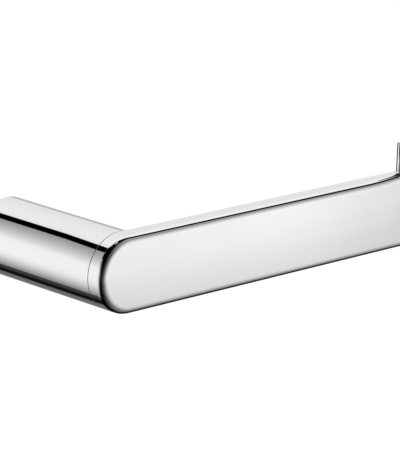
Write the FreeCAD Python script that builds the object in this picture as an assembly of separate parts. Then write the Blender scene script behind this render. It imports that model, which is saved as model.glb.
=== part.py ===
import FreeCAD, Part
import math
import os

# Toilet paper holder: a round post on a hidden wall bracket carries a flat bar with an upright end stop.
# Millimetres. The wall is the plane Y = 0, the post runs along -Y and the bar runs along +X, +Z is up.
# The origin is the centre of the bracket's back face, on the post's axis.

# Post
post_radius = 14.0
post_length = 60.0  # from the wall to the bar's back face
tube_wall = 2.0
wall_gap = 0.5  # between the tube's rim and the wall
rim_chamfer = 0.3

# Bar
bar_height = 28.0
bar_thickness = 7.0
front_round = 2.7  # rounding of every edge of the front face
corner_radius = 8.0  # lower corner at the free end
stop_from_axis = 136.2  # from the post's axis to the end stop's inner edge
stop_width = 10.0
stop_rise = 12.4  # above the bar's top face
stop_thickness = 4.0
stop_corner_radius = 3.0  # outer upper corner, the inner one is square
stop_foot_radius = 0.6
sweep_length = 18.0  # stretch where the front edge climbs to the stop's foot
sweep_rise = 0.65

# Wall bracket and the collar that slides on it
base_thickness = 3.0
spigot_length = 16.0
flat_depth = 1.2  # depth of the spigot's flat, cut into its underside
collar_wall = 2.6
wall_hole_radius = 2.25
head_bore_radius = 4.1  # clears the wall screw's head
head_bore_rim = 0.6  # metal between the head's bore and the spigot's round
head_seat_thickness = 5.0  # metal between the wall and the screw's head

# Set screw, M5
set_screw_radius = 2.5
set_screw_length = 5.0
set_screw_from_wall = 11.0
set_screw_point_chamfer = 0.8
set_socket_across_flats = 2.5
set_socket_depth = 2.4

# Joining screw, M6, with its washers and pins
screw_radius = 3.0
screw_length = 20.0  # under the head
screw_head_radius = 5.0
screw_head_height = 6.0
screw_socket_across_flats = 5.0
screw_socket_depth = 3.0
screw_point_chamfer = 0.6
screw_hole_radius = 3.3
screw_hole_floor = 1.8  # metal between the blind hole and the bar's front face
plain_washer_radius = 6.0
plain_washer_thickness = 1.6
spring_washer_radius = 5.6
spring_washer_thickness = 1.6
spring_washer_split = 1.0
spring_washer_slant = 30.0  # degrees
joint_washer_thickness = 0.25
joint_washer_recess = 0.2  # its edge lies this far inside the post's surface
dowel_radius = 1.5
dowel_length = 9.0
dowel_chamfer = 0.3

# Clearances
press_gap = 0.01
thread_gap = 0.03
running_gap = 0.06
loose_gap = 0.3
point_gap = 0.05  # set screw's point to the flat, with the screw slackened off
hole_end_gap = 0.5

# Places along the post and sizes of what fits inside it
bore_radius = post_radius - tube_wall
bar_half = bar_height / 2
insert_radius = bore_radius - press_gap
tube_front = post_length - joint_washer_thickness
collar_back = base_thickness + loose_gap
collar_bore_radius = insert_radius - collar_wall
spigot_radius = collar_bore_radius - running_gap
flat_height = spigot_radius - flat_depth
spigot_front = base_thickness + spigot_length
wall_hole_offset = spigot_radius - head_bore_rim - head_bore_radius
screw_hole_depth = bar_thickness - screw_hole_floor
screw_engagement = screw_hole_depth - hole_end_gap
washer_stack = plain_washer_thickness + spring_washer_thickness
plug_length = screw_length - washer_stack - joint_washer_thickness - screw_engagement
plug_back = tube_front - plug_length
dowel_offset = (screw_hole_radius + insert_radius) / 2
dowel_half = dowel_length / 2

along_post = FreeCAD.Vector(0, -1, 0)
right = FreeCAD.Vector(1, 0, 0)
up = FreeCAD.Vector(0, 0, 1)
down = FreeCAD.Vector(0, 0, -1)


def rod(radius, start, end, x=0.0):
    """Round bar parallel to the post, from one distance off the wall to another."""
    return Part.makeCylinder(radius, end - start, FreeCAD.Vector(x, -start, 0), along_post)


def upright_rod(radius, start, end):
    """Round bar along the set screw's axis, between two depths below the post's axis."""
    base = FreeCAD.Vector(0, -set_screw_from_wall, -start)
    return Part.makeCylinder(radius, end - start, base, down)


def pointed_rod(radius, chamfer, start, end, x=0.0):
    """Rod with a chamfer at both ends."""
    body = rod(radius, start, end, x)
    rims = [edge for edge in body.Edges if edge.Closed]
    return body.makeChamfer(chamfer, rims)


def hexagon(across_flats, centre, axis, across):
    """Hexagonal face square to an axis, with a corner on the second direction."""
    corner = across * (across_flats / 3 ** 0.5)
    turns = [FreeCAD.Rotation(axis, 60 * step) for step in range(7)]
    return Part.Face(Part.makePolygon([centre + turn.multVec(corner) for turn in turns]))


def spigot_profile(radius, height, start, end):
    """D-shaped rod: round, with a flat on its underside at a height from the axis."""
    size = 2 * radius
    keep = Part.makeBox(size, end - start, radius + height, FreeCAD.Vector(-radius, -end, -height))
    return rod(radius, start, end).common(keep)


def wall_bracket():
    base = rod(bore_radius - loose_gap, 0, base_thickness)
    body = base.fuse(spigot_profile(spigot_radius, flat_height, 0, spigot_front))
    for side in (-1, 1):
        x = side * wall_hole_offset
        body = body.cut(rod(wall_hole_radius, 0, spigot_front, x))
        body = body.cut(rod(head_bore_radius, head_seat_thickness, spigot_front, x))
    return body.removeSplitter()


def post_tube():
    body = rod(post_radius, wall_gap, tube_front)
    wall_rim = [edge for edge in body.Edges if edge.Closed and abs(edge.BoundBox.YMax + wall_gap) < 1e-6]
    body = body.makeChamfer(rim_chamfer, wall_rim)
    body = body.cut(rod(bore_radius, 0, post_length))
    return body.cut(upright_rod(set_screw_radius + loose_gap, 0, post_radius + loose_gap))


def rear_collar():
    body = rod(insert_radius, collar_back, spigot_front)
    bore = spigot_profile(collar_bore_radius, flat_height + running_gap, collar_back, spigot_front)
    body = body.cut(bore)
    return body.cut(upright_rod(set_screw_radius + running_gap, 0, post_radius))


def set_screw():
    point = flat_height + point_gap
    tail = point + set_screw_length
    body = upright_rod(set_screw_radius, point, tail)
    ends = [edge for edge in body.Edges if edge.Closed and abs(edge.BoundBox.ZMin + point) < 1e-6]
    body = body.makeChamfer(set_screw_point_chamfer, ends)
    centre = FreeCAD.Vector(0, -set_screw_from_wall, -tail)
    socket = hexagon(set_socket_across_flats, centre, up, right).extrude(up * set_socket_depth)
    return body.cut(socket)


def front_plug():
    body = rod(insert_radius, plug_back, tube_front)
    body = body.cut(rod(screw_hole_radius, plug_back, tube_front))
    for side in (-1, 1):
        start = post_length - dowel_half - hole_end_gap
        body = body.cut(rod(dowel_radius + press_gap, start, tube_front, side * dowel_offset))
    return body


def washer(radius, start, end):
    return rod(radius, start, end).cut(rod(screw_hole_radius, start, end))


def plain_washer():
    return washer(plain_washer_radius, plug_back - plain_washer_thickness, plug_back)


def spring_washer():
    end = plug_back - plain_washer_thickness
    start = end - spring_washer_thickness
    body = washer(spring_washer_radius, start, end)
    corner = FreeCAD.Vector(-spring_washer_split / 2, -end - spring_washer_thickness / 2, 0)
    depth = 2 * spring_washer_thickness
    split = Part.makeBox(spring_washer_split, depth, spring_washer_radius, corner)
    middle = FreeCAD.Vector(0, -(start + end) / 2, 0)
    split.rotate(middle, up, spring_washer_slant)
    return body.cut(split)


def join_screw():
    seat = plug_back - washer_stack
    top = seat - screw_head_height
    head = rod(screw_head_radius, top, seat)
    outer_rim = [edge for edge in head.Edges if edge.Closed and abs(edge.BoundBox.YMax + top) < 1e-6]
    head = head.makeChamfer(screw_point_chamfer, outer_rim)
    shank = pointed_rod(screw_radius, screw_point_chamfer, seat - screw_point_chamfer, seat + screw_length)
    socket_face = hexagon(screw_socket_across_flats, FreeCAD.Vector(0, -top, 0), along_post, right)
    return head.fuse(shank).cut(socket_face.extrude(along_post * screw_socket_depth)).removeSplitter()


def dowel_pins():
    ends = (post_length - dowel_half, post_length + dowel_half)
    pins = [pointed_rod(dowel_radius, dowel_chamfer, *ends, side * dowel_offset) for side in (-1, 1)]
    return Part.makeCompound(pins)


def joint_washer():
    body = washer(post_radius - joint_washer_recess, tube_front, post_length)
    for side in (-1, 1):
        body = body.cut(rod(dowel_radius + thread_gap, tube_front, post_length, side * dowel_offset))
    return body


def front_point(x, z):
    """Point in the plane of the bar's front face."""
    return FreeCAD.Vector(x, -(post_length + bar_thickness), z)


def around(x, z, radius, degrees):
    """Point on a circle in the front plane, turned from +X towards +Z."""
    turn = FreeCAD.Rotation(along_post, degrees)
    return front_point(x, z) + turn.multVec(right * radius)


def arc(x, z, radius, start, end):
    """Arc about a centre in the front plane, between two angles in degrees."""
    angles = (start, (start + end) / 2, end)
    return Part.Arc(*[around(x, z, radius, angle) for angle in angles]).toShape()


def joined_face(edges):
    """Face inside a chain of arcs, with straight lines added where the chain is open."""
    chain = []
    for edge, following in zip(edges, edges[1:] + edges[:1]):
        chain.append(edge)
        gap_start = edge.lastVertex(True).Point
        gap_end = following.firstVertex(True).Point
        if gap_start.distanceToPoint(gap_end) > 1e-6:
            chain.append(Part.makeLine(gap_start, gap_end))
    return Part.Face(Part.Wire(chain))


def bar():
    end = stop_from_axis + stop_width
    low_corner = arc(end - corner_radius, corner_radius - bar_half, corner_radius, 270, 360)
    round_end = arc(0, 0, bar_half, 90, 270)
    back_corner = Part.makeLine(front_point(end, 0), front_point(end, bar_half))
    block = joined_face([round_end, low_corner, back_corner]).extrude(-along_post * bar_thickness)

    top = bar_half + stop_rise
    inset = stop_corner_radius
    outer_corner = arc(end - inset, top - inset, inset, 0, 90)
    sweep_radius = (sweep_length ** 2 + sweep_rise ** 2) / (2 * sweep_rise)
    sweep_angle = math.asin(sweep_length / sweep_radius)
    sweep_end_angle = math.degrees(sweep_angle) - 90
    foot_x = stop_from_axis - stop_foot_radius
    foot_z = bar_half + sweep_rise + stop_foot_radius * math.cos(sweep_angle)
    inner_edge = Part.makeLine(front_point(stop_from_axis, top), front_point(stop_from_axis, foot_z))
    foot = arc(foot_x, foot_z, stop_foot_radius, 0, sweep_end_angle)
    sweep_start = foot_x + stop_foot_radius * math.sin(sweep_angle) - sweep_length
    sweep = arc(sweep_start, bar_half + sweep_radius, sweep_radius, sweep_end_angle, -90)
    plate_outline = [round_end, low_corner, outer_corner, inner_edge, foot, sweep]
    plate = joined_face(plate_outline).extrude(-along_post * stop_thickness)

    body = block.fuse(plate).removeSplitter()
    front = -(post_length + bar_thickness)
    rim = [edge for edge in body.Edges if abs(edge.BoundBox.YMax - front) < 1e-6]
    body = body.makeFillet(front_round, rim)
    body = body.cut(rod(screw_radius + thread_gap, 0, post_length + screw_hole_depth))
    for side in (-1, 1):
        pin_hole_end = post_length + dowel_half + hole_end_gap
        body = body.cut(rod(dowel_radius + press_gap, 0, pin_hole_end, side * dowel_offset))
    return body


pieces = (
    wall_bracket, rear_collar, set_screw, post_tube, front_plug, plain_washer,
    spring_washer, join_screw, dowel_pins, joint_washer, bar,
)
os.makedirs("parts", exist_ok=True)
for piece in pieces:
    shape = piece()
    shape.exportStep("parts/" + piece.__name__ + ".step")
    print(piece.__name__, round(shape.Volume, 2), shape.isValid())
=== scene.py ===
import math

import bmesh
import bpy
from mathutils import Matrix, Quaternion, Vector


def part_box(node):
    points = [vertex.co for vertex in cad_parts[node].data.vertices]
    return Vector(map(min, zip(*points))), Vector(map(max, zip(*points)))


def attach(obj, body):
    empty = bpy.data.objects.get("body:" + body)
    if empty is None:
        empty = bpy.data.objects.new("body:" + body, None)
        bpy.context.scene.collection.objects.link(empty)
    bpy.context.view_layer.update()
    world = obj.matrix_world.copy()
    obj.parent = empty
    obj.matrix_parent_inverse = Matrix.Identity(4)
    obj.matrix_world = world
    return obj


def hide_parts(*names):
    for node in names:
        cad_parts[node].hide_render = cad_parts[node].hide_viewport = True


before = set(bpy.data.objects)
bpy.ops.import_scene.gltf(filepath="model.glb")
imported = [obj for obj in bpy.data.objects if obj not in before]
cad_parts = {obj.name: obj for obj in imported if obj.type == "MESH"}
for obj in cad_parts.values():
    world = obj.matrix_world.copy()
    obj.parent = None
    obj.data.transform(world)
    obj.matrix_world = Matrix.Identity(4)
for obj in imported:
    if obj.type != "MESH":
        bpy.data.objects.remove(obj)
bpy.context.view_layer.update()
mm = 0.001


def addNode(tree, kind, inputs=None, **props):
    node = tree.nodes.new(kind)
    for key, value in props.items():
        setattr(node, key, value)
    for key, value in (inputs or {}).items():
        if isinstance(value, bpy.types.NodeSocket):
            tree.links.new(value, node.inputs[key])
        else:
            node.inputs[key].default_value = value
    return node


def addMath(tree, operation, a, b=0.0):
    return addNode(tree, "ShaderNodeMath", {0: a, 1: b}, operation=operation).outputs[0]


def addRange(tree, value, fromLow, fromHigh, toLow=0.0, toHigh=1.0, smooth=False):
    ends = {"Value": value, "From Min": fromLow, "From Max": fromHigh, "To Min": toLow, "To Max": toHigh}
    kind = "SMOOTHSTEP" if smooth else "LINEAR"
    return addNode(tree, "ShaderNodeMapRange", ends, interpolation_type=kind).outputs[0]


def addRamp(tree, fac, stops):
    node = addNode(tree, "ShaderNodeValToRGB", {0: fac})
    ramp = node.color_ramp
    while len(ramp.elements) < len(stops):
        ramp.elements.new(0.5)
    for element, stop in zip(ramp.elements, stops):
        element.position = stop[0]
    for element, stop in zip(ramp.elements, stops):
        colour = stop[1] if isinstance(stop[1], tuple) else (stop[1],) * 3
        element.color = (*colour, 1)
    return node.outputs[0]


def addNoise(tree, coords, scale, detail):
    sizes = {"Vector": coords, "Scale": scale, "Detail": detail}
    return addNode(tree, "ShaderNodeTexNoise", sizes).outputs[0]


def addTint(tree, shader, value, spread, look):
    tint = addRamp(tree, value, list(zip(spread, (look["low"], look["high"]))))
    tree.links.new(tint, shader.inputs["Base Color"])


def addBump(tree, shader, height, depth):
    bump = addNode(tree, "ShaderNodeBump", {"Height": height, "Strength": 1.0, "Distance": depth})
    tree.links.new(bump.outputs[0], shader.inputs["Normal"])


def newMaterial(name):
    mat = bpy.data.materials.new(name)
    mat.use_nodes = True
    tree = mat.node_tree
    tree.nodes.clear()
    out = tree.nodes.new("ShaderNodeOutputMaterial")
    shader = tree.nodes.new("ShaderNodeBsdfPrincipled")
    tree.links.new(shader.outputs[0], out.inputs[0])
    return mat, tree, shader


# tint and roughness drift between two values; "grain" is the height of the surface marks
finishes = {
    "polishedChrome": {"low": (0.868, 0.87, 0.874), "high": (0.892, 0.893, 0.895), "rough": (0.012, 0.035),
                       "cloud": 38, "grain": 0.0004 * mm, "marks": 900, "turned": False},
    "plainPlate": {"low": (0.46, 0.46, 0.45), "high": (0.56, 0.555, 0.54), "rough": (0.28, 0.42),
                   "cloud": 120, "grain": 0.006 * mm, "marks": 2600, "turned": True},
    "turnedBrass": {"low": (0.62, 0.43, 0.19), "high": (0.74, 0.55, 0.27), "rough": (0.2, 0.34),
                    "cloud": 150, "grain": 0.008 * mm, "marks": 3200, "turned": True},
    "bracketSteel": {"low": (0.40, 0.405, 0.41), "high": (0.54, 0.545, 0.55), "rough": (0.3, 0.46),
                     "cloud": 110, "grain": 0.01 * mm, "marks": 2400, "turned": True},
    "zincPlate": {"low": (0.50, 0.52, 0.56), "high": (0.66, 0.65, 0.60), "rough": (0.24, 0.38),
                  "cloud": 420, "grain": 0.003 * mm, "marks": 5200, "turned": False},
}
# what all metals share: the stretch of the noise over which tint and roughness change
metalForm = {"tintSpread": (0.3, 0.7), "roughSpread": (0.35, 0.7), "cloudDetail": 4.0, "marksDetail": 2.0}


def makeMetal(name):
    look = finishes[name]
    mat, tree, shader = newMaterial(name)
    coords = addNode(tree, "ShaderNodeTexCoord").outputs["Object"]
    cloud = addNoise(tree, coords, look["cloud"], metalForm["cloudDetail"])
    addTint(tree, shader, cloud, metalForm["tintSpread"], look)
    rough = addRange(tree, cloud, *metalForm["roughSpread"], *look["rough"])
    tree.links.new(rough, shader.inputs["Roughness"])
    if look["turned"]:  # tool marks run round the post's axis
        x, y, z = addNode(tree, "ShaderNodeSeparateXYZ", {0: coords}).outputs
        squares = addMath(tree, "ADD", addMath(tree, "MULTIPLY", x, x), addMath(tree, "MULTIPLY", z, z))
        reach = addMath(tree, "SQRT", squares)
        coords = addNode(tree, "ShaderNodeCombineXYZ", {0: reach, 1: y}).outputs[0]
    addBump(tree, shader, addNoise(tree, coords, look["marks"], metalForm["marksDetail"]), look["grain"])
    shader.inputs["Metallic"].default_value = 1.0
    return mat


polymerLook = {"low": (0.018, 0.018, 0.02), "high": (0.034, 0.034, 0.037), "rough": (0.42, 0.6),
               "tintSpread": (0.35, 0.65), "roughSpread": (0.3, 0.7),
               "speckle": 1800, "detail": 3.0, "grain": 0.004 * mm}


def makePolymer():
    look = polymerLook
    mat, tree, shader = newMaterial("blackPolymer")
    coords = addNode(tree, "ShaderNodeTexCoord").outputs["Object"]
    speckle = addNoise(tree, coords, look["speckle"], look["detail"])
    addTint(tree, shader, speckle, look["tintSpread"], look)
    rough = addRange(tree, speckle, *look["roughSpread"], *look["rough"])
    tree.links.new(rough, shader.inputs["Roughness"])
    addBump(tree, shader, speckle, look["grain"])
    return mat


chrome = makeMetal("polishedChrome")
plainPlate = makeMetal("plainPlate")
brass = makeMetal("turnedBrass")
steel = makeMetal("bracketSteel")
zinc = makeMetal("zincPlate")
polymer = makePolymer()
print("finishes made")


def newPiece(name, bm, materials):
    bmesh.ops.recalc_face_normals(bm, faces=bm.faces)
    mesh = bpy.data.meshes.new(name)
    bm.to_mesh(mesh)
    bm.free()
    obj = bpy.data.objects.new(name, mesh)
    bpy.context.collection.objects.link(obj)
    for mat in materials:
        mesh.materials.append(mat)
    return obj


def bakeModifiers(obj):
    result = bpy.data.meshes.new_from_object(obj.evaluated_get(bpy.context.evaluated_depsgraph_get()))
    obj.modifiers.clear()
    obj.data = result
    result.name = obj.name


def shadeSmooth(mesh):
    mesh.polygons.foreach_set("use_smooth", [True] * len(mesh.polygons))


def finishEdges(obj, width, segments=2, angle=50):
    shadeSmooth(obj.data)
    bevel = obj.modifiers.new("softEdges", "BEVEL")
    bevel.width = width
    bevel.segments = segments
    bevel.limit_method = "ANGLE"
    bevel.angle_limit = math.radians(angle)
    bevel.miter_outer = "MITER_ARC"
    normals = obj.modifiers.new("flatFaces", "WEIGHTED_NORMAL")
    normals.keep_sharp = True
    normals.weight = 100


def place(obj, node, body, slot):
    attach(obj, body)
    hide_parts(node)
    print(obj.name, "made,", len(obj.data.polygons), "faces")


def circlePoints(radius, sides, centre=(0, 0)):
    turns = [2 * math.pi * index / sides for index in range(sides)]
    return [(centre[0] + radius * math.cos(turn), centre[1] + radius * math.sin(turn)) for turn in turns]


def circleRing(bm, radius, y, sides, centre=(0, 0)):
    return [bm.verts.new((x, y, z)) for x, z in circlePoints(radius, sides, centre)]


def joinRings(bm, first, second):
    for index in range(len(first)):
        following = (index + 1) % len(first)
        bm.faces.new((first[index], first[following], second[following], second[index]))


def joinRow(bm, rings, capped=False):
    for first, second in zip(rings, rings[1:]):
        joinRings(bm, first, second)
    if capped:
        bm.faces.new(rings[0])
        bm.faces.new(rings[-1])


def latheInto(bm, profile, sides, centre=(0, 0), hollow=True):
    rings = [circleRing(bm, radius, y, sides, centre) for radius, y in profile]
    joinRow(bm, rings, capped=not hollow)
    if hollow:
        joinRings(bm, rings[-1], rings[0])
    return rings


# the bar's front edge turns over along a superellipse, so its curve starts softly on both sides;
# the stop's back edge is round, and that rounding runs out just above the stop's foot
barLook = {"cornerRadius": 8 * mm, "stopWidth": 10 * mm, "stopThickness": 4 * mm, "stopCorner": 3 * mm,
           "sweepLength": 18 * mm, "sweepRise": 0.65 * mm,
           "turnSize": 2.7 * mm, "turnPower": 2.1, "turnSteps": 24, "crown": 0.15 * mm, "crownCuts": 14,
           "backRound": 1.25 * mm, "backSteps": 8, "runOut": 0.6 * mm, "edge": 0.07 * mm,
           "arcStep": 3.0, "stopArcStep": 7.0, "sweepArcStep": 0.5, "holeSides": 48,
           "screwHole": (3.03 * mm, 5.2 * mm), "pinHole": (1.51 * mm, 5.0 * mm)}

barLow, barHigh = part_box("bar")
tubeLow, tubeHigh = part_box("post_tube")
pinLow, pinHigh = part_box("dowel_pins")
grubLow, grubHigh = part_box("set_screw")
pinRadius = (pinHigh.z - pinLow.z) / 2
pinOffset = pinHigh.x - pinRadius
grubDepth = (grubLow.y + grubHigh.y) / 2


# outlines are lists of x, z and the direction that points out of the piece
def arcPoints(centre, radius, start, end, step):
    count = max(2, math.ceil(abs(end - start) / step) + 1)
    points = []
    for index in range(count):
        angle = math.radians(start + (end - start) * index / (count - 1))
        normal = (math.cos(angle), math.sin(angle))
        points.append((centre[0] + radius * normal[0], centre[1] + radius * normal[1], normal))
    return points


def hollowArc(centre, radius, start, end, step):
    return [(x, z, (-out[0], -out[1])) for x, z, out in arcPoints(centre, radius, start, end, step)]


def turnProfile(size, power, steps):
    # inset from the outline and depth behind the front face, for equal steps of tilt
    share = 1 / (power - 1)
    rows = []
    for index in range(steps + 1):
        tilt = math.pi / 2 * index / steps
        c, s = max(math.cos(tilt), 0), math.sin(tilt)
        reach = (c ** (share + 1) + s ** (share + 1)) ** (1 / power)
        rows.append((size * (1 - c ** share / reach), size * (1 - s ** share / reach)))
    return rows


def barOutline():
    look, half = barLook, -barLow.z
    end, top = barHigh.x, barHigh.z
    stop = end - look["stopWidth"]
    corner, outer = look["cornerRadius"], look["stopCorner"]
    length, rise = look["sweepLength"], look["sweepRise"]
    roundEnd = half + rise + look["runOut"]
    sweepRadius = (length ** 2 + rise ** 2) / (2 * rise)
    sweepAngle = math.asin(length / sweepRadius)
    lower = arcPoints((0, 0), half, 90, 270, look["arcStep"])
    lower += arcPoints((end - corner, corner - half), corner, 270, 360, look["arcStep"])
    lower += [(end, half, (1, 0))]
    upper = [(end, roundEnd + look["backRound"], (1, 0))]
    upper += arcPoints((end - outer, top - outer), outer, 0, 90, look["stopArcStep"])
    upper += [(stop, top, (-1, 1)), (stop, roundEnd, (-1, 0)), (stop, half + rise, (-1, 1))]
    sweepStart = stop - length
    sweepEnd = math.degrees(sweepAngle) - 90
    sweepCentre = (sweepStart, half + sweepRadius)
    upper += hollowArc(sweepCentre, sweepRadius, sweepEnd, -90, look["sweepArcStep"])[1:]
    return lower, upper, sweepStart


def cutHole(bm, size, y, centre):
    radius, depth = size
    mouth = circleRing(bm, radius, y, barLook["holeSides"], centre)
    floor = circleRing(bm, radius, y - depth, barLook["holeSides"], centre)
    joinRings(bm, mouth, floor)
    bm.faces.new(floor)
    return mouth


def loopEdges(bm, loop):
    pairs = [(loop[index - 1], loop[index]) for index in range(len(loop))]
    return [bm.edges.get(pair) or bm.edges.new(pair) for pair in pairs]


def addRing(bm, outline, y, insets):
    ring = []
    for (x, z, out), inset in zip(outline, insets):
        ring.append(bm.verts.new((x - out[0] * inset, y, z - out[1] * inset)))
    return ring


def stopBackRings(bm, lower, upper, plateBack, foot):
    # from the flat of the stop's back round to its sides
    look = barLook
    rounding = [0.0] * len(lower)
    for point in upper:
        rounding.append(look["backRound"] * min(max((point[1] - foot) / look["runOut"], 0.0), 1.0))
    rings = []
    for step in range(look["backSteps"] + 1):
        turn = math.pi / 2 * step / look["backSteps"]
        insets = [size * (1 - math.sin(turn)) for size in rounding]
        rings.append(addRing(bm, lower + upper, plateBack - look["backRound"] * (1 - math.cos(turn)), insets))
    return rings


def crownFront(bm, face, front, half):
    # the front face and its turned edge bulge a little, most at the middle of the height
    look = barLook
    frontFaces = [face]
    for index in range(1, look["crownCuts"]):
        level = -half + 2 * half * index / look["crownCuts"]
        parts = set(frontFaces)
        for each in frontFaces:
            parts.update(each.edges)
            parts.update(each.verts)
        cut = bmesh.ops.bisect_plane(bm, geom=list(parts), plane_co=(0, 0, level), plane_no=(0, 0, 1))
        frontFaces = list({part for part in cut["geom"] if isinstance(part, bmesh.types.BMFace)})
    for vert in bm.verts:
        nearFront = max(0.0, 1 - (vert.co.y - front) / look["turnSize"])
        vert.co.y += look["crown"] * nearFront ** 2 * min(abs(vert.co.z) / half, 1.0) ** 2


def makeBar():
    look, half = barLook, -barLow.z
    back, front = barHigh.y, barLow.y
    lower, upper, sweepStart = barOutline()
    outline = lower + upper
    bm = bmesh.new()
    rear = addRing(bm, lower, back, [0.0] * len(lower)) + [bm.verts.new((sweepStart, back, half))]
    rings = stopBackRings(bm, lower, upper, front + look["stopThickness"], half + look["sweepRise"])
    middle = rings[0]
    joinRings(bm, rear, middle[:len(lower)] + [middle[-1]])
    bm.faces.new(middle[len(lower) - 1:])
    for inset, depth in turnProfile(look["turnSize"], look["turnPower"], look["turnSteps"]):
        rings.append(addRing(bm, outline, front + depth, [inset] * len(outline)))
    joinRow(bm, rings)
    crownFront(bm, bm.faces.new(rings[-1]), front, half)

    mouths = [cutHole(bm, look["screwHole"], back, (0, 0))]
    mouths += [cutHole(bm, look["pinHole"], back, (side * pinOffset, 0)) for side in (-1, 1)]
    edges = [edge for loop in [rear] + mouths for edge in loopEdges(bm, loop)]
    bmesh.ops.triangle_fill(bm, edges=edges, use_beauty=True, normal=(0, 1, 0))
    return newPiece("barBody", bm, [chrome])


barBody = makeBar()
finishEdges(barBody, barLook["edge"])
place(barBody, "bar", "arm", "polished_chrome")

postLook = {"sides": 256, "wall": 2 * mm, "rimChamfer": 0.3 * mm, "frontEdge": 0.1 * mm, "frontSteps": 4,
            "edge": 0.1 * mm, "keyHole": 2.8 * mm, "keyHoleSides": 64}
postRadius = tubeHigh.z


def makeKeyHoleCutter():
    # an upright peg in line with the set screw, from the post's axis to well below its underside
    points = circlePoints(postLook["keyHole"], postLook["keyHoleSides"], (0, grubDepth))
    bm = bmesh.new()
    rings = [[bm.verts.new((x, y, z)) for x, y in points] for z in (-1.5 * postRadius, 0)]
    joinRow(bm, rings, capped=True)
    return newPiece("cutter", bm, [])


def cutWith(obj, cutter):
    boolean = obj.modifiers.new("hole", "BOOLEAN")
    boolean.operation = "DIFFERENCE"
    boolean.solver = "EXACT"
    boolean.object = cutter
    bakeModifiers(obj)
    bpy.data.objects.remove(cutter)


def makePost():
    look = postLook
    bore = postRadius - look["wall"]
    rear, front = tubeHigh.y, tubeLow.y
    chamfer, soft = look["rimChamfer"], look["frontEdge"]
    profile = [(bore, rear), (postRadius - chamfer, rear), (postRadius, rear - chamfer)]
    for index in range(look["frontSteps"] + 1):
        tilt = math.pi / 2 * index / look["frontSteps"]
        profile.append((postRadius - soft * (1 - math.cos(tilt)), front + soft * (1 - math.sin(tilt))))
    profile.append((bore, front))
    bm = bmesh.new()
    rings = latheInto(bm, profile, look["sides"])
    inner = set(rings[0]) | set(rings[-1])
    for face in bm.faces:
        face.material_index = int(all(vert in inner for vert in face.verts))
    obj = newPiece("postShell", bm, [chrome, plainPlate])
    cutWith(obj, makeKeyHoleCutter())
    return obj


postShell = makePost()
finishEdges(postShell, postLook["edge"], angle=60)
place(postShell, "post_tube", "arm", "polished_chrome")

washerLook = {"bore": 3.3 * mm, "sides": 96, "edge": 0.15 * mm, "split": 1.0 * mm, "slant": 30, "steps": 90,
              "softEdge": 0.04 * mm}


def makePlainWasher():
    low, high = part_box("plain_washer")
    bore, outer, edge = washerLook["bore"], high.z, washerLook["edge"]
    profile = [(bore, high.y), (outer - edge, high.y), (outer, high.y - edge),
               (outer, low.y + edge), (outer - edge, low.y), (bore, low.y)]
    bm = bmesh.new()
    latheInto(bm, profile, washerLook["sides"])
    return newPiece("plainWasher", bm, [zinc])


def makeSpringWasher():
    look = washerLook
    low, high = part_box("spring_washer")
    bore, outer, edge = look["bore"], high.z, look["edge"]
    middle = (low.y + high.y) / 2
    section = [(bore + edge, high.y), (outer - edge, high.y), (outer, high.y - edge), (outer, low.y + edge),
               (outer - edge, low.y), (bore + edge, low.y), (bore, low.y + edge), (bore, high.y - edge)]
    bm = bmesh.new()
    rings = []
    for index in range(look["steps"] + 1):
        share = index / look["steps"]
        ring = []
        for radius, y in section:
            gap = look["split"] / 2 / radius
            lean = (y - middle) * math.tan(math.radians(look["slant"])) / radius
            turn = math.pi / 2 + gap + lean + (2 * math.pi - 2 * gap) * share
            ring.append(bm.verts.new((radius * math.cos(turn), y, radius * math.sin(turn))))
        rings.append(ring)
    joinRow(bm, rings, capped=True)
    return newPiece("springWasher", bm, [zinc])


for washer, node in ((makePlainWasher(), "plain_washer"), (makeSpringWasher(), "spring_washer")):
    finishEdges(washer, washerLook["softEdge"], segments=1, angle=30)
    place(washer, node, "arm", "fastener_steel")

pinLook = {"chamfer": 0.3 * mm, "sides": 48, "softEdge": 0.05 * mm}


def makePins():
    chamfer, radius = pinLook["chamfer"], pinRadius
    low, high = pinLow.y, pinHigh.y
    profile = [(radius - chamfer, high), (radius, high - chamfer),
               (radius, low + chamfer), (radius - chamfer, low)]
    bm = bmesh.new()
    for side in (-1, 1):
        latheInto(bm, profile, pinLook["sides"], (side * pinOffset, 0), hollow=False)
    return newPiece("dowelPins", bm, [zinc])


dowelPins = makePins()
finishEdges(dowelPins, pinLook["softEdge"], segments=1, angle=30)
place(dowelPins, "dowel_pins", "arm", "fastener_steel")

# sizes of the two screws; "Rows" is the number of mesh rows along the thread
screwLooks = {
    "joinScrew": {"Radius": 3 * mm, "Length": 20 * mm, "Pitch": 1 * mm, "Thread Depth": 0.61 * mm,
                  "Point Chamfer": 0.6 * mm, "Head Radius": 5 * mm, "Head Height": 6 * mm,
                  "Knurl Depth": 0.16 * mm, "Socket Width": 5 * mm, "Socket Depth": 3 * mm, "Rows": 240},
    "setScrew": {"Radius": 2.5 * mm, "Length": 5 * mm, "Pitch": 0.8 * mm, "Thread Depth": 0.49 * mm,
                 "Point Chamfer": 0.8 * mm, "Head Radius": 2.5 * mm, "Head Height": 0.0,
                 "Knurl Depth": 0.0, "Socket Width": 2.5 * mm, "Socket Depth": 2.4 * mm, "Rows": 75},
}
# what both screws share; "crest" and "root" are shares of half a pitch
screwForm = {"threadSides": 56, "crest": 0.25, "root": 0.875, "headSides": 160, "headRows": 20,
             "knurlRidges": 32, "headChamfer": 0.5 * mm, "headSink": 0.002 * mm, "sharpAngle": 32}


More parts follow.
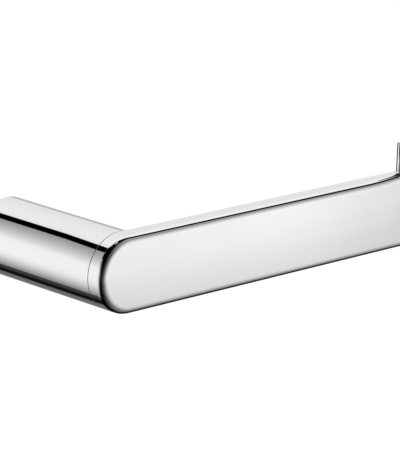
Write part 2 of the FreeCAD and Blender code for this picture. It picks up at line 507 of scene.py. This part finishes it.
def scaleAcross(tree, geometry, reach, radius):
    # moves each point to a new distance from the Z axis
    position = addNode(tree, "GeometryNodeInputPosition").outputs[0]
    across = addMath(tree, "DIVIDE", reach, radius)
    factors = addNode(tree, "ShaderNodeCombineXYZ", {0: across, 1: across, 2: 1.0}).outputs[0]
    moved = addNode(tree, "ShaderNodeVectorMath", {0: position, 1: factors}, operation="MULTIPLY").outputs[0]
    return addNode(tree, "GeometryNodeSetPosition", {"Geometry": geometry, "Position": moved}).outputs[0]


def makeScrewTree():
    tree = bpy.data.node_groups.new("threadedScrew", "GeometryNodeTree")
    for name in screwLooks["joinScrew"]:
        kind = "NodeSocketInt" if name == "Rows" else "NodeSocketFloat"
        tree.interface.new_socket(name=name, in_out="INPUT", socket_type=kind)
    tree.interface.new_socket(name="Material", in_out="INPUT", socket_type="NodeSocketMaterial")
    tree.interface.new_socket(name="Geometry", in_out="OUTPUT", socket_type="NodeSocketGeometry")
    size = tree.nodes.new("NodeGroupInput").outputs
    position = addNode(tree, "GeometryNodeInputPosition").outputs[0]
    x, y, z = addNode(tree, "ShaderNodeSeparateXYZ", {0: position}).outputs
    turn = addMath(tree, "DIVIDE", addMath(tree, "ARCTAN2", y, x), 2 * math.pi)

    # thread: a ridge that climbs one pitch a turn, with a flat crest and a wider flat root
    shank = addNode(tree, "GeometryNodeMeshCylinder", {"Vertices": screwForm["threadSides"],
                    "Side Segments": size["Rows"], "Radius": size["Radius"],
                    "Depth": size["Length"]}).outputs["Mesh"]
    phase = addMath(tree, "FRACT", addMath(tree, "SUBTRACT", addMath(tree, "DIVIDE", z, size["Pitch"]), turn))
    ridge = addMath(tree, "ABSOLUTE", addMath(tree, "SUBTRACT", addMath(tree, "MULTIPLY", phase, 2.0), 1.0))
    groove = addRange(tree, ridge, screwForm["crest"], screwForm["root"], 1.0, 0.0)
    reach = addMath(tree, "SUBTRACT", size["Radius"], addMath(tree, "MULTIPLY", groove, size["Thread Depth"]))
    fromTip = addMath(tree, "ADD", z, addMath(tree, "DIVIDE", size["Length"], 2.0))
    point = addMath(tree, "ADD", addMath(tree, "SUBTRACT", size["Radius"], size["Point Chamfer"]), fromTip)
    shank = scaleAcross(tree, shank, addMath(tree, "MINIMUM", reach, point), size["Radius"])
    below = addMath(tree, "DIVIDE", size["Length"], -2.0)
    drop = addNode(tree, "ShaderNodeCombineXYZ", {2: below}).outputs[0]
    shank = addNode(tree, "GeometryNodeTransform", {"Geometry": shank, "Translation": drop}).outputs[0]

    # head: knurled round its middle, with a chamfer at both rims
    head = addNode(tree, "GeometryNodeMeshCylinder", {"Vertices": screwForm["headSides"],
                   "Side Segments": screwForm["headRows"], "Radius": size["Head Radius"],
                   "Depth": size["Head Height"]}).outputs["Mesh"]
    halfHeight = addMath(tree, "DIVIDE", size["Head Height"], 2.0)
    fromRim = addMath(tree, "SUBTRACT", halfHeight, addMath(tree, "ABSOLUTE", z))
    swing = addMath(tree, "MULTIPLY", turn, math.pi * screwForm["knurlRidges"])
    wave = addMath(tree, "ABSOLUTE", addMath(tree, "SINE", swing))
    groove = addMath(tree, "MULTIPLY", wave, size["Knurl Depth"])
    reach = addMath(tree, "SUBTRACT", size["Head Radius"], groove)
    chamfer = addMath(tree, "SUBTRACT", size["Head Radius"], screwForm["headChamfer"])
    chamfer = addMath(tree, "ADD", chamfer, fromRim)
    head = scaleAcross(tree, head, addMath(tree, "MINIMUM", reach, chamfer), size["Head Radius"])
    seated = addMath(tree, "SUBTRACT", halfHeight, screwForm["headSink"])
    lift = addNode(tree, "ShaderNodeCombineXYZ", {2: seated}).outputs[0]
    head = addNode(tree, "GeometryNodeTransform", {"Geometry": head, "Translation": lift}).outputs[0]
    union = addNode(tree, "GeometryNodeMeshBoolean", operation="UNION")
    tree.links.new(shank, union.inputs["Mesh 2"])
    tree.links.new(head, union.inputs["Mesh 2"])
    hasHead = addNode(tree, "FunctionNodeCompare", {0: size["Head Height"], 1: 0.0}, operation="GREATER_THAN")
    body = addNode(tree, "GeometryNodeSwitch", {"Switch": hasHead.outputs[0], "False": shank,
                   "True": union.outputs[0]}, input_type="GEOMETRY").outputs[0]

    # hexagon socket, sunk into the end that the key reaches
    corner = addMath(tree, "DIVIDE", size["Socket Width"], math.sqrt(3))
    key = addNode(tree, "GeometryNodeMeshCylinder", {"Vertices": 6, "Radius": corner,
                  "Depth": addMath(tree, "MULTIPLY", size["Socket Depth"], 2.0)}).outputs["Mesh"]
    raised = addNode(tree, "ShaderNodeCombineXYZ", {2: size["Head Height"]}).outputs[0]
    key = addNode(tree, "GeometryNodeTransform", {"Geometry": key, "Translation": raised}).outputs[0]
    cut = addNode(tree, "GeometryNodeMeshBoolean", {"Mesh 1": body}, operation="DIFFERENCE")
    tree.links.new(key, cut.inputs["Mesh 2"])
    solid = addNode(tree, "GeometryNodeRealizeInstances", {0: cut.outputs[0]}).outputs[0]
    done = addNode(tree, "GeometryNodeSetMaterial", {"Geometry": solid, "Material": size["Material"]})
    tree.links.new(done.outputs[0], tree.nodes.new("NodeGroupOutput").inputs["Geometry"])
    return tree


def makeScrew(name, tree, matrix):
    obj = bpy.data.objects.new(name, bpy.data.meshes.new(name))
    bpy.context.collection.objects.link(obj)
    modifier = obj.modifiers.new("screw", "NODES")
    modifier.node_group = tree
    values = dict(screwLooks[name], Material=zinc)
    for socket in tree.interface.items_tree:
        if socket.in_out == "INPUT":
            modifier[socket.identifier] = values[socket.name]
    bakeModifiers(obj)
    obj.data.transform(matrix)
    shadeSmooth(obj.data)
    obj.data.set_sharp_from_angle(angle=math.radians(screwForm["sharpAngle"]))
    return obj


screwTree = makeScrewTree()
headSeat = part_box("join_screw")[1].y - screwLooks["joinScrew"]["Head Height"]
inTube = Matrix.Translation((0, headSeat, 0)) @ Matrix.Rotation(-math.pi / 2, 4, "X")
joinScrew = makeScrew("joinScrew", screwTree, inTube)
place(joinScrew, "join_screw", "arm", "fastener_steel")
pointUp = Matrix.Translation((0, grubDepth, grubLow.z)) @ Matrix.Rotation(math.pi, 4, "X")
setScrew = makeScrew("setScrew", screwTree, pointUp)
place(setScrew, "set_screw", "grub", "fastener_steel")

# machined pieces keep their construction shape and get broken edges
machined = {
    "wall_bracket": ("bracketBody", "bracket", "bracket_steel", steel, 0.25 * mm),
    "rear_collar": ("rearCollar", "arm", "turned_brass", brass, 0.2 * mm),
    "front_plug": ("frontPlug", "arm", "turned_brass", brass, 0.2 * mm),
    "joint_washer": ("jointWasher", "arm", "black_polymer", polymer, 0.04 * mm),
}
machinedForm = {"weld": 0.001 * mm, "flatAngle": 0.5, "edgeAngle": 40}


def makeMachined(node):
    name, body, slot, mat, edge = machined[node]
    bm = bmesh.new()
    bm.from_mesh(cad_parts[node].data)
    bmesh.ops.remove_doubles(bm, verts=bm.verts, dist=machinedForm["weld"])
    flat = math.radians(machinedForm["flatAngle"])
    bmesh.ops.dissolve_limit(bm, angle_limit=flat, verts=bm.verts, edges=bm.edges)
    obj = newPiece(name, bm, [mat])
    finishEdges(obj, edge, angle=machinedForm["edgeAngle"])
    place(obj, node, body, slot)


for node in machined:
    makeMachined(node)

# what the chrome mirrors: a brightness level for each direction, seen by glossy rays alone.
# a list gives levels along a scale, and a pair is where a change begins and ends. x points along the bar,
# y at the wall and z up; turns are degrees about the post's axis, from the bar's direction upwards
studio = {
    "plain": 0.7,  # for every other ray
    # behind the holder, by turn
    "aroundPost": [(-180, 1.0), (-160, 1.0), (-145, 0.9), (-130, 0.64), (-115, 0.37), (-108, 0.25),
                   (-106, 0.045), (-95, 0.045), (-92, 0.01), (-78, 0.0), (-74, 0.13), (-60, 0.17),
                   (-30, 0.21), (-14, 0.5), (10, 0.5), (17, 0.84), (30, 0.84), (60, 0.92), (85, 0.94),
                   (98.5, 0.88), (99.5, 0.0), (115.6, 0.0), (116.1, 0.33), (123, 0.39), (129, 0.45),
                   (140, 0.57), (145.5, 0.65), (151, 0.73), (156, 0.80), (161, 0.91), (166, 0.97),
                   (180, 1.0)],
    "slant": {"level": 0.722, "slope": 330, "most": 24},  # below this y, the bands lean by degrees of turn
    "slantPart": [(-180, 0), (20, 0), (70, 1), (150, 1), (180, 0)],
    "upperPart": (0.0, 0.25),  # the upper bands are brighter towards the bar, by z and by y
    "nearBar": (-0.13, 0.70, 1.25, 1.0),
    "pole": [(-1.0, 0.1), (-0.5, 0.14), (-0.36, 0.14), (-0.32, 0.0), (-0.2, 0.0), (-0.17, 0.45),
             (-0.05, 0.68), (0.3, 0.86), (1.0, 0.9)],  # straight at the wall, by z
    "poleEdge": (0.75, 0.79),
    # in front: by nearness to the key direction, then by x and by height
    "key": (0.683, -0.73, 0.0),
    "nearKey": [(-1.0, 0.01), (-0.2, 0.01), (0.074, 0.06), (0.2, 0.07), (0.334, 0.18), (0.46, 0.25),
                (0.594, 0.37), (0.7, 0.52), (0.775, 0.63), (0.85, 0.79), (0.9, 0.88), (0.957, 0.95),
                (1.0, 1.0)],
    "across": [(-1.0, 1.0), (0.55, 1.0), (0.62, 0.97), (0.662, 0.995), (0.681, 1.015), (0.694, 1.05),
               (0.703, 1.05), (0.714, 1.01), (0.7255, 0.93), (0.735, 0.83), (0.75, 0.8), (1.0, 0.8)],
    "drop": (0.66, 0.735, 0.012, -0.028),  # the heights sink from the bar's left to its right
    "height": [(-1.0, 0.75), (-0.88, 0.7), (-0.78, 0.42), (-0.73, 0.37), (-0.68, 0.5), (-0.57, 0.64),
               (-0.42, 0.66), (-0.31, 0.75), (-0.26, 0.93), (-0.2, 0.98), (-0.13, 0.88), (0.056, 0.72),
               (0.24, 0.55), (0.4, 0.33), (0.55, 0.44), (1.0, 0.5)],
    "frontLevel": 1.06,
    "lowerPart": (-0.42, -0.3),  # low down, the front dims towards the wall, by z and by y
    "lowerBack": (-0.25, 0.1, 1.0, 0.1),
    "gap": (-0.49, -0.45),  # a black strip along the near light's upper edge, by y and by z
    "gapHeight": (0.35, 0.55),
    # where the front ends and the back begins: the two ends of the change in y, by turn
    "edgeLow": [(-180, -0.3), (-150, -0.1), (-120, 0.3), (-100, 0.6), (-60, 0.64), (5, 0.6), (25, -0.16),
                (45, -0.19), (60, -0.15), (75, 0.02), (88, 0.28), (101, 0.41), (104, 0.66), (116, 0.68),
                (125, 0.5), (145, 0.2), (165, -0.1), (180, -0.3)],
    "edgeHigh": [(-180, 0.68), (-150, 0.68), (-120, 0.69), (-100, 0.70), (-60, 0.69), (5, 0.66), (25, -0.1),
                 (45, -0.13), (60, -0.08), (75, 0.12), (88, 0.36), (101, 0.47), (104, 0.7), (116, 0.705),
                 (125, 0.7), (145, 0.68), (180, 0.68)],
    "overhead": (0.994, 0.998),  # by z
    "overheadLevel": 0.9,
}


def makeWorld():
    world = bpy.data.worlds.new("studio")
    bpy.context.scene.world = world
    world.use_nodes = True
    tree = world.node_tree
    tree.nodes.clear()
    direction = addNode(tree, "ShaderNodeTexCoord").outputs["Generated"]
    x, y, z = addNode(tree, "ShaderNodeSeparateXYZ", {0: direction}).outputs

    def blend(share, first, second):
        return addNode(tree, "ShaderNodeMix", {0: share, 2: first, 3: second}, data_type="FLOAT").outputs[0]

    def times(first, second):
        return addMath(tree, "MULTIPLY", first, second)

    def onTurn(turn):
        return addRange(tree, turn, -math.pi, math.pi)

    def byTurn(turnShare, stops):
        return addRamp(tree, turnShare, [((turn + 180) / 360, value) for turn, value in stops])

    def byPart(part, stops):
        # along x, y, z or a nearness, which all run from -1 to 1
        share = addRange(tree, part, -1.0, 1.0)
        return addRamp(tree, share, [((place + 1) / 2, value) for place, value in stops])

    # behind the holder: bands round the post's axis, slanted towards the bar
    turn = addMath(tree, "ARCTAN2", z, x)
    around = onTurn(turn)
    slant = studio["slant"]
    slantStart = slant["level"] - slant["most"] / slant["slope"]
    lag = addRange(tree, y, slantStart, slant["level"], math.radians(slant["most"]), 0.0)
    leaning = addMath(tree, "SUBTRACT", turn, times(lag, byTurn(around, studio["slantPart"])))
    behind = byTurn(onTurn(leaning), studio["aroundPost"])
    isUpper = addRange(tree, z, *studio["upperPart"], smooth=True)
    behind = times(behind, blend(isUpper, 1.0, addRange(tree, y, *studio["nearBar"])))
    isPole = addRange(tree, y, *studio["poleEdge"], smooth=True)
    behind = blend(isPole, behind, byPart(z, studio["pole"]))

    # in front: a wide glow about the key direction, dimmer below it
    key = Vector(studio["key"]).normalized()
    near = addNode(tree, "ShaderNodeVectorMath", {0: direction, 1: key}, operation="DOT_PRODUCT")
    ahead = times(byPart(near.outputs["Value"], studio["nearKey"]), byPart(x, studio["across"]))
    height = addMath(tree, "ADD", z, addRange(tree, x, *studio["drop"]))
    ahead = times(ahead, byPart(height, studio["height"]))
    lower = blend(addRange(tree, z, *studio["lowerPart"]), addRange(tree, y, *studio["lowerBack"]), 1.0)
    ahead = times(times(ahead, lower), studio["frontLevel"])
    gap = times(addRange(tree, y, *studio["gap"]), addRange(tree, z, *studio["gapHeight"]))
    ahead = blend(gap, ahead, 0.0)

    # the two meet softly at the left and sharply at the right, and a light hangs overhead
    ends = []
    for name in ("edgeLow", "edgeHigh"):
        share = byTurn(around, [(turnPlace, (edge + 1) / 2) for turnPlace, edge in studio[name]])
        ends.append(addRange(tree, share, 0, 1, -1, 1))
    seen = blend(addRange(tree, y, *ends, smooth=True), ahead, behind)
    isOverhead = addRange(tree, z, *studio["overhead"], smooth=True)
    seen = blend(isOverhead, seen, studio["overheadLevel"])
    path = addNode(tree, "ShaderNodeLightPath").outputs
    light = blend(path["Is Glossy Ray"], studio["plain"], seen)
    clear = addMath(tree, "MAXIMUM", path["Is Camera Ray"], path["Is Transmission Ray"])
    light = blend(clear, light, 1.0)
    back = addNode(tree, "ShaderNodeBackground", {"Color": light, "Strength": 1.0})
    out = addNode(tree, "ShaderNodeOutputWorld")
    tree.links.new(back.outputs[0], out.inputs[0])


makeWorld()

# pale floor well below the holder, white to the camera where nothing shades it
floorLook = {"height": -1.0, "size": 16.0, "low": (0.88, 0.88, 0.88), "high": (0.9, 0.9, 0.9),
             "tintSpread": (0.3, 0.7), "cloud": 3.0, "detail": 2.0, "rough": 0.9, "lift": 0.42}


def makeFloor():
    look = floorLook
    bm = bmesh.new()
    bmesh.ops.create_grid(bm, x_segments=4, y_segments=4, size=look["size"] / 2)
    bmesh.ops.translate(bm, verts=bm.verts, vec=(0, 0, look["height"]))
    mat, tree, shader = newMaterial("paleFloor")
    coords = addNode(tree, "ShaderNodeTexCoord").outputs["Object"]
    addTint(tree, shader, addNoise(tree, coords, look["cloud"], look["detail"]), look["tintSpread"], look)
    shader.inputs["Roughness"].default_value = look["rough"]
    shader.inputs["Emission Color"].default_value = (1, 1, 1, 1)
    path = addNode(tree, "ShaderNodeLightPath").outputs
    clear = addMath(tree, "MAXIMUM", path["Is Camera Ray"], path["Is Transmission Ray"])
    tree.links.new(addMath(tree, "MULTIPLY", clear, look["lift"]), shader.inputs["Emission Strength"])
    floor = newPiece("floor", bm, [mat])
    floor.visible_glossy = False  # the chrome mirrors the studio's levels alone


makeFloor()

lampLooks = {"softKey": {"place": (-0.9, -1.3, 1.5), "size": 1.4, "power": 9.0},
             "softFill": {"place": (1.5, -0.9, 1.0), "size": 1.2, "power": 4.0}}
lampAim = Vector((0.06, -0.03, 0))


def makeLamp(name):
    look = lampLooks[name]
    data = bpy.data.lights.new(name, "AREA")
    data.shape = "DISK"
    data.size = look["size"]
    data.energy = look["power"]
    lamp = bpy.data.objects.new(name, data)
    bpy.context.collection.objects.link(lamp)
    lamp.location = look["place"]
    lamp.rotation_mode = "QUATERNION"
    lamp.rotation_quaternion = (lampAim - lamp.location).to_track_quat("-Z", "Y")
    lamp.visible_glossy = False
    lamp.visible_camera = False


for name in lampLooks:
    makeLamp(name)
print("studio made")

view = {"azimuth": -44.5014, "elevation": 15.1259, "roll": 1.7368, "lens": 221.0774, "sensor": 36,
        "distance": 0.959831, "aim": (0.022371, -0.076326, 0.014818), "near": 0.05, "far": 50}


def makeCamera():
    data = bpy.data.cameras.new("viewCamera")
    data.lens = view["lens"]
    data.sensor_width = view["sensor"]
    cam = bpy.data.objects.new("viewCamera", data)
    bpy.context.collection.objects.link(cam)
    side, rise = math.radians(view["azimuth"]), math.radians(view["elevation"])
    back = Vector((math.sin(side) * math.cos(rise), -math.cos(side) * math.cos(rise), math.sin(rise)))
    cam.location = Vector(view["aim"]) + back * view["distance"]
    cam.rotation_mode = "QUATERNION"
    level = (-back).to_track_quat("-Z", "Y")
    cam.rotation_quaternion = level @ Quaternion((0, 0, 1), math.radians(view["roll"]))
    data.clip_start, data.clip_end = view["near"], view["far"]
    bpy.context.scene.camera = cam


makeCamera()
bpy.context.scene.view_settings.view_transform = "Standard"
